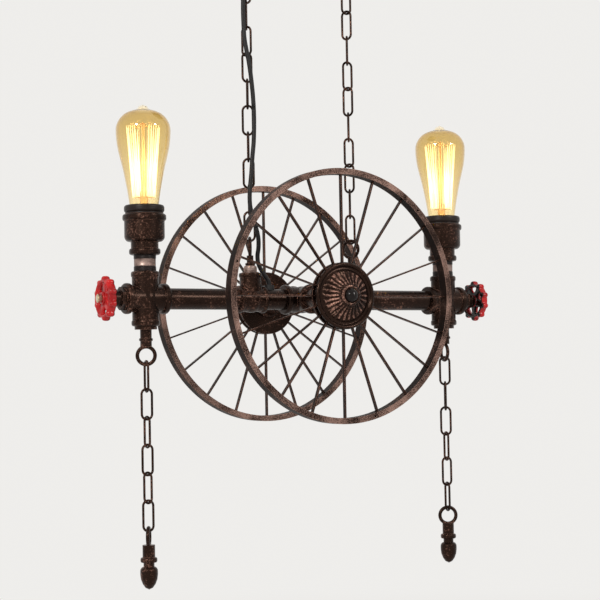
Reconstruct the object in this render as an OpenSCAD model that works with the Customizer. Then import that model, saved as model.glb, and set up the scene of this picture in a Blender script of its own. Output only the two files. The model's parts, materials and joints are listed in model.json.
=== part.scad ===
// Pendant light in the style of old pipework: two spoked wheels on a pipe cross, two
// upright bulbs in bell-shaped cups, two valve handwheels and two hanging chains with
// finials, hung from the ceiling on two chains with the power cord beside one of them.
// Millimetres, +Z up. X runs along the arms and Y along the axle of the wheels.
// The origin is on the ceiling, in the middle of the bracket.

/* [Ceiling] */
// Outer diameter of the canopy
canopy_d = 190; // [188:1:240]
// Depth of the canopy below the ceiling
canopy_h = 30; // [26:1:45]
// Wall of the canopy
canopy_wall = 1.5; // [1:0.1:2.5]
// Rounding of the canopy's lower edge
canopy_round = 9; // [4:1:12]
// Width of the bracket strap
bracket_w = 24; // [20:1:30]
// Thickness of the bracket strap
bracket_t = 2.5; // [1.5:0.1:3]
// Distance between the two ceiling screws
screw_spacing = 60; // [50:1:80]
// Diameter of the ceiling screw holes
screw_hole_d = 5.2; // [4:0.1:6]
// Length of the terminal block
terminal_l = 30; // [20:1:40]
// Height of the terminal block
terminal_h = 12; // [8:1:16]

/* [Eyes] */
// Outer diameter of the rings that hold the upper chains
hang_ring_d = 25; // [23:0.5:30]
// Wire of the rings that hold the upper chains
hang_ring_wire = 3.8; // [3:0.1:5]
// Outer diameter of the lower rings and the finial rings
drop_ring_d = 25; // [23:0.5:30]
// Wire of the lower rings and the finial rings
drop_ring_wire = 4.4; // [3.4:0.1:5]
// Diameter of the threaded shanks
shank_d = 6; // [5:0.1:8]
// Height of the bare neck between a ceiling ring and the canopy
ceiling_neck = 5; // [3:0.5:12]

/* [Chains] */
// Distance between the two upper chains
hang_spacing = 142; // [130:1:150]
// Length that each link adds to its chain
link_pitch = 32.2; // [28:0.1:36]
// Outer width of a link
link_w = 15; // [13:0.1:17]
// Wire of a link
link_wire = 2.8; // [2:0.1:3.2]
// Slack between two links
link_gap = 0.3; // [0.2:0.05:0.4]

/* [Pipes] */
// Distance between the two lamp columns
column_spacing = 418; // [380:1:460]
// Outer diameter of the arm pipes
arm_d = 25; // [23:0.5:26]
// Outer diameter of the nipples and the axle
nipple_d = 26.4; // [25:0.1:27]
// Bore of the pipes and fittings
pipe_bore = 19; // [16:0.5:20]
// Radial clearance of a thread in its fitting
thread_gap = 0.05; // [0.02:0.01:0.1]
// Outer diameter of the fittings
fitting_d = 31; // [30.5:0.5:33]
// Diameter of the beads on the side outlets
bead_d = 36; // [34:0.5:40]
// Diameter of the beads on the upright outlets
upright_bead_d = 33; // [32:0.5:38]
// Width of a bead
bead_w = 7.5; // [5:0.5:8]
// Distance from a fitting's centre to its side outlets
side_reach = 27; // [25:0.5:30]
// Distance from a fitting's centre to its upright outlets
upright_reach = 32; // [30:0.5:36]
// Outer diameter of the hanger tees
tee_d = 30; // [29.5:0.5:32]
// Distance from a hanger tee's centre to its arm outlets
tee_reach = 18; // [18:0.5:22]
// Outer diameter of a tee's branch
tee_branch_d = 26; // [24:0.5:27]
// Thread of a hanger eye in its tee
hanger_thread_d = 20; // [18:0.5:21]
// Length of thread inside a fitting
engage = 9; // [7:0.5:10]

/* [Lamps] */
// Length of lamp nipple that shows between the fitting and the cup
nipple_shows = 19; // [12:0.5:30]
// Diameter of the cup's lower bead
cup_bead_d = 36.5; // [34:0.5:40]
// Diameter of the cup's neck
cup_neck_d = 32; // [31:0.5:34]
// Height of the cup's neck and lower bead
cup_neck_h = 15; // [12:0.5:20]
// Outer diameter of the cup
cup_d = 47; // [44:0.5:52]
// Diameter of the cup's upper bead
cup_rim_d = 51; // [50:0.5:56]
// Height of the cup above its neck
cup_h = 32.5; // [28:0.5:40]
// Wall of the cup
cup_wall = 2.6; // [2:0.1:3.2]
// Height of the lampholder's black ring
holder_ring_h = 9; // [6:0.5:12]
// Diameter of the bulb at its widest
bulb_d = 64; // [60:1:70]
// Length of bulb glass above the lampholder
bulb_h = 117.5; // [105:0.5:125]
// Wall of the bulb glass
glass_wall = 1; // [0.8:0.1:1.4]
// Outer diameter of the bulb's screw cap
bulb_cap_d = 26.4; // [26:0.1:26.6]

/* [Valves] */
// Outer diameter of the handwheels
handwheel_d = 52; // [46:1:60]
// Thickness of the handwheel's rim
handwheel_rim = 7; // [5:0.5:8]
// Number of lobes round a handwheel
handwheel_lobes = 10; // [8:1:12]
// Number of handwheel spokes
handwheel_spokes = 5; // [4:1:6]
// Diameter of the valve stem
stem_d = 7; // [6:0.1:8]

/* [Wheels] */
// Outer diameter of the wheels
wheel_d = 300; // [280:1:320]
// Thickness of the wheel rim, measured along a spoke
rim_t = 7; // [5:0.5:8]
// Width of the wheel rim, measured along the axle
rim_w = 13.7; // [10:0.1:16]
// Distance from the middle of the light to the middle of each wheel
wheel_offset = 97; // [85:1:110]
// Number of spokes in a wheel
spoke_count = 20; // [16:1:24]
// Thickness of a spoke
spoke_t = 1.6; // [1.2:0.1:2.4]
// Width of a spoke, measured along the axle
spoke_w = 5; // [4:0.5:8]
// Diameter of the hub's core
hub_core_d = 50; // [44:1:54]
// Diameter of the hub's dome and back plate
dome_d = 79; // [74:1:86]
// Height of the dome above the hub
dome_h = 15; // [12:0.5:18]
// Number of flutes on the dome
flute_count = 26; // [20:1:30]
// Diameter of the ball on the axle's end
ball_d = 17; // [14:0.5:18]

/* [Finials] */
// Diameter of the acorn at the end of a lower chain
acorn_d = 20.5; // [18:0.5:24]
// Length of the acorn
acorn_h = 26.5; // [22:0.5:32]

/* [Cord] */
// Diameter of the power cord
cord_d = 5.4; // [5:0.1:6]

/* [Hidden] */
$fn = 48;
left = -1;
right = 1;
front = -1;
back = 1;

// Turn of each link about its chain's line, from the top link down
left_upper_turns = [0, 60, 120, 0, 60, 150, 60, 150, 60, 150];
right_upper_turns = [0, 120, 60, 0, 120, 60, 0, 120, 60, 0];
left_lower_turns = [85, 170, 95, 175, 110, 175];
right_lower_turns = [150, 60, 150, 80, 175, 80];
// Turn of each ring
ceiling_ring_turn = 90;
left_hang_ring_turn = 60;
right_hang_ring_turn = 120;
left_drop_ring_turn = 150;
right_drop_ring_turn = 80;
left_finial_turn = 60;
right_finial_turn = 155;

// Clearances between pieces that lie in or on each other
seat_gap = 0.2;
turning_gap = 0.3;
// How far a cut reaches past the piece that it goes through
cut = 1;
// How far two solids of one piece reach into each other
merge = 1;

// The ceiling eyes and their nuts, the cord's grip and the terminal block
eye_neck_d = shank_d + 1;
eye_flange_d = shank_d + 5;
eye_flange_h = 2;
shank_past_nut = 2.2;
eye_nut_across = 1.9 * shank_d;
eye_nut_h = 0.8 * shank_d;
grip_h = 12;
grip_foot_d = 13.6;
grip_lip_d = 12;
grip_lip_t = 1.4;
terminal_w = 16;
terminal_screw_d = 4;
terminal_screw_depth = 4;

// A link's straight and round parts, measured along the middle of its wire
link_reach = link_pitch + link_wire + link_gap;
link_bend_r = (link_w - link_wire) / 2;
link_step = link_reach - link_wire - link_gap;
// How far the middle of one wire lies over the middle of the wire that it hangs on
hang_step = (link_wire + hang_ring_wire) / 2 + link_gap;
drop_step = (link_wire + drop_ring_wire) / 2 + link_gap;
hang_ring_r = (hang_ring_d - hang_ring_wire) / 2;
drop_ring_r = (drop_ring_d - drop_ring_wire) / 2;

// Heights from the ceiling down to the arms
canopy_z = -canopy_h;
ceiling_ring_z = canopy_z - ceiling_neck - hang_ring_d / 2;
upper_chain_z = ceiling_ring_z - hang_ring_r + hang_step;
upper_links = len(left_upper_turns);
bottom_link_z = upper_chain_z - (upper_links - 1) * link_step;
hanger_ring_top = bottom_link_z - link_reach + hang_step;
hanger_ring_z = hanger_ring_top - hang_ring_r;
// The hanger eye's collars and neck, under its ring
hanger_collar_d = 16;
hanger_collar_h = 9;
hanger_bead_d = 12;
hanger_bead_h = 3;
hanger_neck_d = shank_d + 2;
hanger_neck = 10;
hanger_base_z = hanger_ring_z - hang_ring_d / 2 - hanger_neck - hanger_collar_h;
arm_z = hanger_base_z - upright_reach;

hang_x = hang_spacing / 2;
column_x = column_spacing / 2;
// The space for wires through the middle of a fitting, wide enough to join its bores
junction_d = 1.45 * pipe_bore;

// The lamp column, measured up from the arms
cup_z = upright_reach + nipple_shows;
cup_body_z = cup_z + cup_neck_h;
cup_top_z = cup_body_z + cup_h;
holder_lift = 1.6;
holder_z = cup_top_z + holder_lift;
bulb_z = holder_z + holder_ring_h;
cup_bead_w = 7.5;
cup_rim_w = 8;
cup_shoulder = 6.5;
cup_floor_z = cup_shoulder + cup_wall / 2;
holder_body_d = cup_d - 2 * cup_wall - 2 * seat_gap;
holder_floor_t = 2.5;
holder_floor = cup_body_z + cup_floor_z + seat_gap + holder_floor_t;
holder_hole_d = 7;
holder_throat_h = 3;
shell_wall = 0.6;
shell_d = bulb_cap_d + 2 * seat_gap + 2 * shell_wall;
bulb_neck_d = bulb_cap_d + 7.6;
shell_h = 22;
shell_floor_t = 1;
cap_z = holder_floor + 5;
cap_h = 26;
cap_wall = 0.4;
cap_foot_h = 3;
cap_foot_d = 10;
cap_contact_d = 9;
cap_contact_h = 2;
glass_in_cap = 8;
stem_base_z = cap_z + cap_h - 4;
cage_top_r = 20;
cage_foot_r = 10.5;
cage_wires = 10;
cage_wire_d = 0.8;
cage_disc_t = 1;
cage_foot_z = 10;
cage_top_z = bulb_z + 0.76 * bulb_h - stem_base_z;
glass_stem_d = 10;
glass_stem_h = 38;
glass_flare_d = 12;
glass_flare_h = 9;
mast_d = 2;
flex_d = 5;
flex_stop = 6;

// The wheel and its hub, measured along the axle from the middle of the light
spoke_face = wheel_offset + spoke_w / 2;
hub_face = spoke_face + seat_gap;
plate_t = 3;
plate_face = wheel_offset - spoke_w / 2 - seat_gap;
hub_back = plate_face - plate_t;
hub_bore_d = nipple_d + 2 * thread_gap;
spoke_start = hub_core_d / 2 + seat_gap;
spoke_end = wheel_d / 2 - rim_t - seat_gap / 2;
axle_end = hub_face + turning_gap;
ball_gap = 0.3;
cup_ring_t = 3.5;
cup_ring_rise = 2.5;
dome_wall = 4;
dome_lip = 2.8;
dome_groove_w = 3.6;
dome_groove_z = 2.2;
dome_foot_z = 3.2;
flute_t = 2.2;
flute_rise = 1.4;
flange_d = nipple_d + 6;
flange_t = 2.5;
bolt_d = 10;
bolt_depth = 14;
locknut_h = 6;
rim_hole_d = 2.8;
rim_hole_depth = 4;

// The valve, measured out from the fitting's side outlet
bonnet_hex = 27;
bonnet_hex_h = 6;
bonnet_neck_d = 19;
bonnet_neck_h = 7;
gland_hex = 16;
gland_h = 6;
wheel_hub_h = 10;
wheel_hub_d = 14;
valve_nut_h = 3.5;
valve_nut_across = 10.4;
stem_past_nut = 0.8;
stem_in_bonnet = 4;
lobe_d = 8.5;
handwheel_plane = 3.2;
handwheel_spoke_w = 5;
handwheel_spoke_t = 3.6;
hub_start = bonnet_hex_h + bonnet_neck_h + gland_h + turning_gap;

// The lower eye, measured down from the fitting's bottom outlet
drop_plug_d = 26;
drop_plug_h = 3.8;
drop_stem_d = 13.4;
drop_stem_h = 10;
drop_collar_d = 16;
drop_collar_h = 3.5;
drop_neck_h = 6.5;
drop_eye_h = drop_plug_h + drop_stem_h + drop_collar_h + drop_neck_h;
drop_ring_z = -upright_reach - drop_eye_h - drop_ring_d / 2 + drop_ring_wire / 2;
lower_chain_z = drop_ring_z - drop_ring_r + drop_step;
lower_links = len(left_lower_turns);
lower_end_z = lower_chain_z - (lower_links - 1) * link_step - link_reach;
finial_ring_z = lower_end_z + drop_step - drop_ring_r;
finial_neck_d = 14.5;
finial_neck_h = 13;
finial_collar_d = 19.5;
finial_collar_h = 6;
finial_waist_d = 12.6;
finial_waist_h = 4.5;
acorn_shoulder = 5;
acorn_belly = 9;

// Where the cord comes through the canopy and where it goes into the left arm
grip_x = -76;
grip_y = -20;
entry_x = -hang_x + tee_reach + 7.5;
grommet_d = 9.6;
grommet_h = 5;
grommet_lip = 1.2;
grommet_seat = 2;
hole_gap = 0.15;
// How far the middle of the cord stays from the middle of its chain
cord_lane = (link_w + cord_d) / 2 + 0.4;
cord_sides = 10;
cord_steps = 2;

// The cord's route: points from the terminal block down beside the chain into the nipple
function lane(turn, up) =
    [-hang_x + cord_lane * cos(turn), cord_lane * sin(turn), arm_z + up];
function aside(x, y, up) = [x - hang_x, y, arm_z + up];
cord_route = [
    [-terminal_l / 2 - 0.3, -4, -9], [-20, -4.1, -9], [-26.5, -6.6, -9], [-35, -12.5, -10],
    [-46, -18.5, -12], [-62, -20, -13.5], [-69, -20, -15.3], [-73.8, -20, -20], [-75.9, -20, -25],
    [grip_x, grip_y, -31], [grip_x, grip_y, -37], [grip_x, grip_y, -42],
    [-76.1, -19.5, -47.5], [-76.4, -17.6, -53], [-77, -13.9, -58.2], [-77.6, -10.1, -63.4],
    [-78, -8, -69], lane(-133, 374), lane(-137, 349), lane(-132, 318), lane(-120, 302),
    lane(-106, 288), lane(-92, 269), lane(-78, 244), lane(-72, 218), lane(-78, 191),
    lane(-90, 172), lane(-100, 151), lane(-112, 130), lane(-112, 113), lane(-95, 99),
    lane(-70, 86), lane(-42, 74), lane(-16, 63), lane(4, 53), aside(12, 1.8, 44),
    aside(15.6, 1.9, 36.5), aside(20, 1.3, 29.6), aside(24, 0.4, 23.8), aside(25.4, 0, 18.2),
    [entry_x, 0, arm_z + 13.5], [entry_x, 0, arm_z + 8], [entry_x, 0, arm_z + 2.7]];

// One point of the smooth curve through four neighbouring points
function curve(a, b, c, d, t) =
    0.5 * (2 * b + (c - a) * t + (2 * a - 5 * b + 4 * c - d) * t * t
        + (3 * b - a - 3 * c + d) * t * t * t);
function near(list, i) = list[min(max(i, 0), len(list) - 1)];
function smooth(list, steps) = [
    for (i = [0 : len(list) - 2], s = [0 : steps - 1])
        curve(near(list, i - 1), list[i], list[i + 1], near(list, i + 2), s / steps),
    list[len(list) - 1]];
function unit(v) = v / norm(v);
function ring_points(p, along, r, n) =
    let (u = unit(cross(along, [0, 1, 0.2])), v = cross(unit(along), u))
    [for (k = [0 : n - 1]) p + r * (cos(360 * k / n) * u + sin(360 * k / n) * v)];
function arc(x, y, r, from, to, steps) =
    [for (i = [0 : steps]) let (a = from + (to - from) * i / steps)
        [x + r * cos(a), y + r * sin(a)]];

// A tube swept along a list of points, closed with a flat face at each end
module swept_tube(points, d, sides) {
    last = len(points) - 1;
    rings = [for (i = [0 : last])
        each ring_points(points[i],
            points[min(i + 1, last)] - points[max(i - 1, 0)], d / 2, sides)];
    walls = [for (i = [0 : last - 1], k = [0 : sides - 1])
        let (a = i * sides + k, b = i * sides + (k + 1) % sides)
        each [[a, b, b + sides], [a, b + sides, a + sides]]];
    ends = [[for (k = [0 : sides - 1]) sides - 1 - k],
        [for (k = [0 : sides - 1]) last * sides + k]];
    polyhedron(points = rings, faces = concat(walls, ends), convexity = 10);
}

// Places something at a point of the light that is measured from the arms
module from_arms(x = 0, y = 0, z = 0) {
    translate([x, y, arm_z + z]) children();
}

// A collar with rounded edges, standing on the origin
module bead(d, w) {
    round = w / 3;
    rotate_extrude()
        polygon(concat([[0, 0]], arc(d / 2 - round, round, round, -90, 0, 3),
            arc(d / 2 - round, w - round, round, 0, 90, 3), [[0, w]]));
}

module tube(d, bore, h) {
    difference() {
        cylinder(d = d, h = h);
        translate([0, 0, -cut]) cylinder(d = bore, h = h + 2 * cut);
    }
}

// A ring of wire round the Y axis
module wire_ring(d, wire) {
    rotate([90, 0, 0]) rotate_extrude() translate([(d - wire) / 2, 0]) circle(d = wire);
}

// One chain link hanging down from the middle of its top wire
module link(turn) {
    straight = link_reach - 2 * link_bend_r;
    rotate([0, 0, turn]) translate([0, 0, -link_bend_r]) {
        rotate([90, 0, 0]) rotate_extrude(angle = 180)
            translate([link_bend_r, 0]) circle(d = link_wire);
        for (side = [left, right])
            translate([side * link_bend_r, 0, -straight])
                cylinder(d = link_wire, h = straight);
        translate([0, 0, -straight]) rotate([-90, 0, 0]) rotate_extrude(angle = 180)
            translate([link_bend_r, 0]) circle(d = link_wire);
    }
}

// The links of a chain from one number to another, counted from the top link
module links(turns, from, to) {
    for (i = [from : to]) translate([0, 0, -i * link_step]) link(turns[i]);
}

// Outlets of a fitting: each has a reach, a thread, a bead with its width and a body
side_out = [side_reach, arm_d, bead_d, bead_w, fitting_d];
axle_out = [side_reach, nipple_d, bead_d, bead_w, fitting_d];
up_out = [upright_reach, nipple_d, upright_bead_d, bead_w, fitting_d];
tee_bead = 1.5;
tee_bead_w = tee_reach - tee_branch_d / 2 - 0.6;
branch_bead = 1;
branch_bead_w = 6;
bore_step = 2;
tee_out = [tee_reach, arm_d, tee_d + 2 * tee_bead, tee_bead_w, tee_d];
branch_out = [upright_reach, hanger_thread_d, tee_branch_d + 2 * branch_bead, branch_bead_w,
    tee_branch_d];
toward_right = [0, 90, 0];
toward_left = [0, -90, 0];
toward_front = [90, 0, 0];
toward_back = [-90, 0, 0];
toward_top = [0, 0, 0];
toward_floor = [180, 0, 0];

module fitting(body_d, outlets) {
    difference() {
        union() {
            sphere(d = body_d + 2 * merge);
            for (o = outlets) rotate(o[0]) {
                cylinder(d = o[1][4], h = o[1][0] - o[1][3] / 2);
                translate([0, 0, o[1][0] - o[1][3]]) bead(o[1][2], o[1][3]);
            }
        }
        sphere(d = junction_d);
        for (o = outlets) rotate(o[0]) {
            cylinder(d = min(pipe_bore, o[1][1] - 2 * bore_step), h = o[1][0] + cut);
            translate([0, 0, o[1][0] - engage])
                cylinder(d = o[1][1] + 2 * thread_gap, h = engage + cut);
        }
    }
}

// Ceiling pieces
module ceiling_bracket() {
    foot_x = hang_x - bracket_w / 2;
    color("silver") difference() {
        union() {
            translate([-foot_x, -bracket_w / 2, -bracket_t])
                cube([2 * foot_x, bracket_w, bracket_t]);
            for (side = [left, right]) {
                translate([side * foot_x - (side > 0 ? bracket_t : 0), -bracket_w / 2,
                    canopy_z + canopy_wall])
                    cube([bracket_t, bracket_w, canopy_h - canopy_wall]);
                translate([side > 0 ? foot_x - bracket_t : -foot_x - bracket_w,
                    -bracket_w / 2, canopy_z + canopy_wall])
                    cube([bracket_w + bracket_t, bracket_w, bracket_t]);
            }
        }
        for (side = [left, right]) {
            translate([side * screw_spacing / 2, 0, -bracket_t - cut])
                cylinder(d = screw_hole_d, h = bracket_t + 2 * cut);
            translate([side * hang_x, 0, canopy_z])
                cylinder(d = shank_d + 2 * seat_gap, h = canopy_wall + bracket_t + cut);
        }
    }
}

module canopy() {
    r = canopy_d / 2;
    inner = r - canopy_wall;
    round = canopy_round;
    floor_z = canopy_z + canopy_wall;
    inner_round = round - canopy_wall;
    color([0.16, 0.11, 0.09]) difference() {
        rotate_extrude()
            polygon(concat([[0, canopy_z]],
                arc(r - round, canopy_z + round, round, -90, 0, 6), [[r, 0], [inner, 0]],
                arc(inner - inner_round, floor_z + inner_round, inner_round, 0, -90, 6),
                [[0, floor_z]]));
        for (side = [left, right])
            translate([side * hang_x, 0, canopy_z - cut])
                cylinder(d = shank_d + 2 * seat_gap, h = canopy_wall + 2 * cut);
        translate([grip_x, grip_y, canopy_z - cut])
            cylinder(d = grommet_d + 2 * hole_gap, h = canopy_wall + 2 * cut);
    }
}

module ceiling_eyes() {
    nut_z = canopy_z + canopy_wall + bracket_t;
    shank_top = nut_z + eye_nut_h + shank_past_nut;
    color([0.2, 0.13, 0.1]) for (side = [left, right]) translate([side * hang_x, 0, 0]) {
        translate([0, 0, ceiling_ring_z]) rotate([0, 0, ceiling_ring_turn])
            wire_ring(hang_ring_d, hang_ring_wire);
        translate([0, 0, ceiling_ring_z + hang_ring_r])
            cylinder(d = eye_neck_d, h = canopy_z - eye_flange_h - ceiling_ring_z - hang_ring_r);
        translate([0, 0, canopy_z - eye_flange_h]) cylinder(d = eye_flange_d, h = eye_flange_h);
        translate([0, 0, canopy_z - merge]) cylinder(d = shank_d, h = shank_top - canopy_z + merge);
    }
}

module eye_nuts() {
    nut_z = canopy_z + canopy_wall + bracket_t;
    color("silver") for (side = [left, right]) translate([side * hang_x, 0, nut_z])
        difference() {
            cylinder(d = eye_nut_across, h = eye_nut_h, $fn = 6);
            translate([0, 0, -cut])
                cylinder(d = shank_d + 2 * thread_gap, h = eye_nut_h + 2 * cut);
        }
}

// The grip that holds the cord in the canopy's hole, with a lip inside the canopy
module cord_grip() {
    inside = canopy_wall + seat_gap;
    color([0.05, 0.05, 0.05]) translate([grip_x, grip_y, canopy_z - seat_gap / 2])
        rotate([180, 0, 0]) difference() {
            union() {
                cylinder(d1 = grip_foot_d, d2 = cord_d + 3, h = grip_h);
                translate([0, 0, -inside - grip_lip_t])
                    cylinder(d = grommet_d, h = inside + grip_lip_t + merge);
                translate([0, 0, -inside - grip_lip_t]) cylinder(d = grip_lip_d, h = grip_lip_t);
            }
            translate([0, 0, -inside - grip_lip_t - cut])
                cylinder(d = cord_d + 2 * hole_gap, h = grip_h + inside + grip_lip_t + 2 * cut);
        }
}

module terminal_block() {
    block_top = -bracket_t - seat_gap / 2;
    color("ivory") translate([-terminal_l / 2, -terminal_w / 2, block_top - terminal_h])
        difference() {
            cube([terminal_l, terminal_w, terminal_h]);
            for (i = [1 : 3]) translate([i * terminal_l / 4, terminal_w / 2, -cut])
                cylinder(d = terminal_screw_d, h = terminal_screw_depth + cut);
        }
}

// Chains
module upper_links_of(side, turns, from, to) {
    color([0.22, 0.15, 0.12]) translate([side * hang_x, 0, upper_chain_z])
        links(turns, from, to);
}
module left_top_link() { upper_links_of(left, left_upper_turns, 0, 0); }
module right_top_link() { upper_links_of(right, right_upper_turns, 0, 0); }
module left_upper_chain() {
    upper_links_of(left, left_upper_turns, 1, upper_links - 2);
}
module right_upper_chain() {
    upper_links_of(right, right_upper_turns, 1, upper_links - 2);
}
module left_bottom_link() {
    upper_links_of(left, left_upper_turns, upper_links - 1, upper_links - 1);
}
module right_bottom_link() {
    upper_links_of(right, right_upper_turns, upper_links - 1, upper_links - 1);
}

module lower_links_of(side, turns, from, to) {
    color([0.22, 0.15, 0.12]) from_arms(side * column_x, 0, lower_chain_z)
        links(turns, from, to);
}
module left_lower_top_link() { lower_links_of(left, left_lower_turns, 0, 0); }
module right_lower_top_link() { lower_links_of(right, right_lower_turns, 0, 0); }
module left_lower_chain() {
    lower_links_of(left, left_lower_turns, 1, lower_links - 1);
}
module right_lower_chain() {
    lower_links_of(right, right_lower_turns, 1, lower_links - 1);
}

module power_cord() {
    color([0.03, 0.03, 0.03]) swept_tube(smooth(cord_route, cord_steps), cord_d, cord_sides);
}

// Pipework
module centre_cross() {
    color([0.18, 0.12, 0.1]) from_arms() fitting(fitting_d, [
        [toward_left, side_out],
        [toward_right, side_out], [toward_front, axle_out], [toward_back, axle_out]]);
}

module hanger_tee(side) {
    color([0.18, 0.12, 0.1]) from_arms(side * hang_x) fitting(tee_d, [
        [toward_left, tee_out], [toward_right, tee_out], [toward_top, branch_out]]);
}
module left_tee() { hanger_tee(left); }
module right_tee() { hanger_tee(right); }

module end_cross(side) {
    color([0.18, 0.12, 0.1]) from_arms(side * column_x) fitting(fitting_d, [
        [toward_left, side_out], [toward_right, side_out], [toward_top, up_out],
        [toward_floor, up_out]]);
}
module left_end_cross() { end_cross(left); }
module right_end_cross() { end_cross(right); }

// A pipe along X between two fittings, from one end to the other
module pipe_along_arm(from, to, d) {
    from_arms(from) rotate([0, 90, 0]) tube(d, pipe_bore, to - from);
}

module arm_pipe(side) {
    inner = hang_x + tee_reach - engage + seat_gap;
    outer = column_x - side_reach + engage - seat_gap;
    color([0.2, 0.13, 0.1])
        if (side > 0) pipe_along_arm(inner, outer, arm_d);
        else pipe_along_arm(-outer, -inner, arm_d);
}
module left_arm_pipe() { arm_pipe(left); }
module right_arm_pipe() { arm_pipe(right); }

// The short pipes between the centre cross and the tees; the cord enters the left one
nipple_in = side_reach - engage + seat_gap;
nipple_out = hang_x - tee_reach + engage - seat_gap;
module left_nipple() {
    color([0.3, 0.22, 0.19]) difference() {
        pipe_along_arm(-nipple_out, -nipple_in, arm_d);
        from_arms(entry_x) cylinder(d = grommet_d + 2 * hole_gap, h = arm_d);
    }
}
module right_nipple() {
    color([0.3, 0.22, 0.19]) pipe_along_arm(nipple_in, nipple_out, arm_d);
}

// The upright nipples under the lamp cups
module lamp_nipples() {
    foot = upright_reach - engage + seat_gap;
    top = cup_z + engage - seat_gap;
    color([0.3, 0.22, 0.19]) for (side = [left, right])
        from_arms(side * column_x, 0, foot) tube(nipple_d, pipe_bore, top - foot);
}

// The pipes from the centre cross that the wheels turn on
module axle_pipes() {
    start = side_reach - engage + seat_gap;
    color([0.2, 0.13, 0.1]) for (way = [toward_front, toward_back])
        from_arms() rotate(way) translate([0, 0, start])
            tube(nipple_d, pipe_bore, axle_end - start);
}

// A bolt in each end of the axle, with a flange that keeps the wheel on and a ball end
module axle_end_bolts() {
    ball_z = hub_face + dome_h + 1;
    color([0.08, 0.07, 0.07]) for (way = [toward_front, toward_back])
        from_arms() rotate(way) {
            translate([0, 0, axle_end - bolt_depth])
                cylinder(d = pipe_bore - 2 * thread_gap, h = bolt_depth + merge);
            translate([0, 0, axle_end]) cylinder(d = flange_d, h = flange_t);
            translate([0, 0, axle_end + merge])
                cylinder(d = bolt_d, h = ball_z - axle_end - merge);
            translate([0, 0, ball_z]) sphere(d = ball_d);
        }
}

module axle_locknuts() {
    color([0.18, 0.12, 0.1]) for (way = [toward_front, toward_back])
        from_arms() rotate(way) translate([0, 0, hub_back - turning_gap - locknut_h])
            difference() {
                bead(bead_d, locknut_h);
                translate([0, 0, -cut])
                    cylinder(d = nipple_d + 2 * thread_gap, h = locknut_h + 2 * cut);
            }
}

module cord_grommet() {
    saddle_z = arm_d / 2 - grommet_seat;
    color([0.05, 0.05, 0.05]) from_arms(entry_x) difference() {
        union() {
            difference() {
                translate([0, 0, saddle_z]) cylinder(d = grommet_d + 2 * grommet_lip,
                    h = arm_d / 2 + grommet_h - saddle_z);
                translate([-grommet_d, 0, 0]) rotate([0, 90, 0])
                    cylinder(d = arm_d + hole_gap, h = 2 * grommet_d);
            }
            translate([0, 0, pipe_bore / 2 - seat_gap]) cylinder(d = grommet_d, h = grommet_h);
        }
        cylinder(d = cord_d + 2 * hole_gap, h = arm_d);
    }
}

// The eyes that screw into the tees and carry the whole frame
module hanger_eyes() {
    color([0.45, 0.38, 0.35]) for (side = [left, right])
        translate([side * hang_x, 0, 0]) {
            translate([0, 0, hanger_ring_z])
                rotate([0, 0, side < 0 ? left_hang_ring_turn : right_hang_ring_turn])
                    wire_ring(hang_ring_d, hang_ring_wire);
            translate([0, 0, hanger_base_z + hanger_collar_h - merge])
                cylinder(d = hanger_neck_d, h = hanger_neck + hang_ring_wire / 2 + merge);
            translate([0, 0, hanger_base_z + hanger_collar_h])
                bead(hanger_bead_d, hanger_bead_h);
            translate([0, 0, hanger_base_z]) bead(hanger_collar_d, hanger_collar_h);
            translate([0, 0, hanger_base_z - engage + seat_gap])
                cylinder(d = hanger_thread_d, h = engage - seat_gap + merge);
        }
}

// Lamps
module lamp_cup(side) {
    r = cup_d / 2;
    inner_r = r - cup_wall;
    bell = cup_shoulder;
    color([0.18, 0.12, 0.1]) from_arms(side * column_x, 0, cup_z) difference() {
        union() {
            bead(cup_bead_d, cup_bead_w);
            cylinder(d = cup_neck_d, h = cup_neck_h + merge);
            rotate_extrude()
                polygon(concat([[0, cup_neck_h]], [[cup_neck_d / 2, cup_neck_h]],
                    arc(r - bell, cup_neck_h + bell, bell, -60, 0, 5),
                    [[r, cup_neck_h + cup_h], [0, cup_neck_h + cup_h]]));
            translate([0, 0, cup_neck_h + cup_h - cup_rim_w]) bead(cup_rim_d, cup_rim_w);
        }
        translate([0, 0, -cut]) cylinder(d = nipple_d + 2 * thread_gap, h = engage + cut);
        translate([0, 0, engage - cut]) cylinder(d = pipe_bore, h = cup_neck_h);
        translate([0, 0, cup_neck_h + cup_floor_z]) cylinder(r = inner_r, h = cup_h);
        translate([0, 0, cup_neck_h + merge])
            cylinder(r1 = pipe_bore / 2, r2 = inner_r - 2, h = cup_floor_z);
    }
}
module left_lamp_cup() { lamp_cup(left); }
module right_lamp_cup() { lamp_cup(right); }

// The black lampholder: a body in the cup and a ring that stands above it
module lampholder(side) {
    foot = cup_body_z + cup_floor_z + seat_gap;
    throat_d = bulb_neck_d + 2;
    bore_d = shell_d + 2 * seat_gap;
    color([0.04, 0.035, 0.035]) from_arms(side * column_x, 0, 0) difference() {
        union() {
            translate([0, 0, foot]) cylinder(d = holder_body_d, h = holder_z - foot + merge);
            translate([0, 0, cup_top_z + seat_gap])
                cylinder(d = holder_body_d + 3, h = holder_lift);
            translate([0, 0, holder_z]) bead(cup_d, holder_ring_h);
        }
        translate([0, 0, holder_floor]) cylinder(d = bore_d, h = bulb_z - holder_floor + cut);
        translate([0, 0, holder_z - holder_throat_h])
            cylinder(d1 = bore_d, d2 = throat_d, h = 2 * holder_throat_h);
        translate([0, 0, holder_z + holder_throat_h - 0.1])
            cylinder(d = throat_d, h = holder_ring_h);
        translate([0, 0, foot - cut])
            cylinder(d = holder_hole_d, h = holder_floor - foot + 2 * cut);
    }
}
module left_lampholder() { lampholder(left); }
module right_lampholder() { lampholder(right); }

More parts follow.
